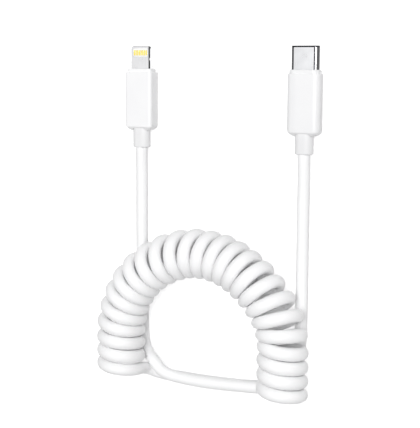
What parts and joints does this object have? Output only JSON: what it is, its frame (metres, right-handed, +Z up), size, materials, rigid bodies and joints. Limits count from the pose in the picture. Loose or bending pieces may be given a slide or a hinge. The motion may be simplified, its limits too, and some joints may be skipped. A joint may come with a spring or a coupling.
{
  "type": "coiled charging cable",
  "caption": "Coiled charging cable with a flat tab plug and an oval shell plug on straight tails, lying in an arch on a table.",
  "frame": {"origin": "on the table, under the middle of the box round the two plugs; the cord lies behind it, towards -Y", "axes": "+X from the tab plug to the oval plug, +Y the way both plugs point, +Z up from the table"},
  "size_m": [0.0683, 0.1025, 0.0184],
  "materials": {
    "housing_white": "smooth, soft gloss",
    "jacket_white": "smooth elastomer, soft gloss",
    "sleeve_white": "smooth elastomer, satin",
    "steel": "satin plated steel",
    "spring_steel": "bare spring strip",
    "gold_contact": "gold plated, polished",
    "insulator_white": "moulded, fine matt",
    "insulator_dark": "moulded, fine matt",
    "board_green": "solder mask, satin",
    "chip_black": "moulded epoxy, matt",
    "can_metal": "thin plated sheet",
    "mould_natural": "unpainted inner moulding",
    "core_insulation": "coloured insulation over stranded copper",
    "crimp_metal": "pressed ring"
  },
  "bodies": {
    "laid_cord": {"coil": "jacket_white", "tab_run": "jacket_white", "oval_run": "jacket_white"},
    "tab_plug": {"tab_housing": "housing_white", "tab_collar": "housing_white", "tab_tongue": "steel", "tab_insulator": "insulator_white", "tab_contacts_top": "gold_contact", "tab_contacts_bottom": "gold_contact", "tab_circuit_board": "board_green", "tab_chip": "chip_black", "tab_shield_can": "can_metal", "tab_inner_mould": "mould_natural", "tab_wires": "core_insulation", "tab_crimp": "crimp_metal", "tab_relief": "sleeve_white", "tab_tail": "jacket_white"},
    "oval_plug": {"oval_housing": "housing_white", "oval_collar": "housing_white", "oval_shell": "steel", "oval_carrier": "insulator_dark", "oval_contacts_top": "gold_contact", "oval_contacts_bottom": "gold_contact", "oval_latch_spring": "spring_steel", "oval_ground_springs": "spring_steel", "oval_circuit_board": "board_green", "oval_chip": "chip_black", "oval_shield_can": "can_metal", "oval_inner_mould": "mould_natural", "oval_wires": "core_insulation", "oval_crimp": "crimp_metal", "oval_relief": "sleeve_white", "oval_tail": "jacket_white"}
  },
  "joints": [
    {"name": "tab_plug_lift", "type": "hinge", "parent": "laid_cord", "child": "tab_plug", "pos_m": [-0.0274, -0.044, 0.0018], "axis": [1, 0, 0], "range_deg": [0, 45], "deforming": ["tab_tail"]},
    {"name": "oval_plug_lift", "type": "hinge", "parent": "laid_cord", "child": "oval_plug", "pos_m": [0.0263, -0.044, 0.0018], "axis": [1, 0, 0], "range_deg": [0, 45], "deforming": ["oval_tail"]}
  ]
}
